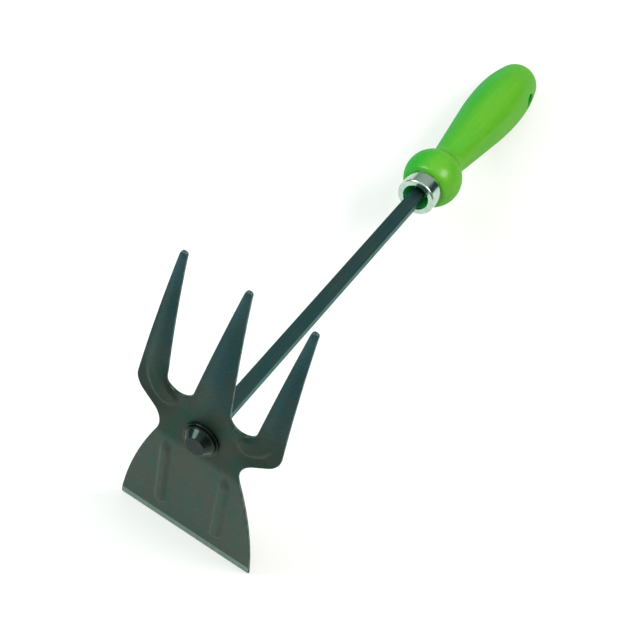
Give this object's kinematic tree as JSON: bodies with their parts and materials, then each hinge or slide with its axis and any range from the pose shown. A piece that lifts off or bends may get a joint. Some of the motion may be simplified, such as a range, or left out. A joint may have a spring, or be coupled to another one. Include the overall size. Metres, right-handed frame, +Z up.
{
  "type": "hand cultivator",
  "caption": "Short hand cultivator with forked tines above a flared hoe blade on one riveted steel head, a square steel shank, a plated ferrule and a turned wooden handle.",
  "frame": {"origin": "middle of the tool's box, on the surface that it stands on with its cutting edge and the butt of its handle touching", "axes": "+Z up, +Y along the tool from the head towards the butt of the handle, +X along the cutting edge; the tines point up"},
  "size_m": [0.08, 0.3588, 0.2019],
  "materials": {
    "head_steel": "dark green-grey tempered and lacquered sheet steel, satin",
    "rivet_steel": "dark oiled steel, semi-gloss",
    "shank_steel": "dark blue-grey lacquered steel bar, semi-gloss",
    "ferrule_plating": "bright zinc plating",
    "handle_lacquer": "turned hardwood in bright green gloss lacquer"
  },
  "bodies": {
    "root": {"head_plate": "head_steel", "washer": "rivet_steel", "rivet": "rivet_steel", "shank": "shank_steel", "ferrule": "ferrule_plating", "handle": "handle_lacquer"}
  },
  "joints": []
}
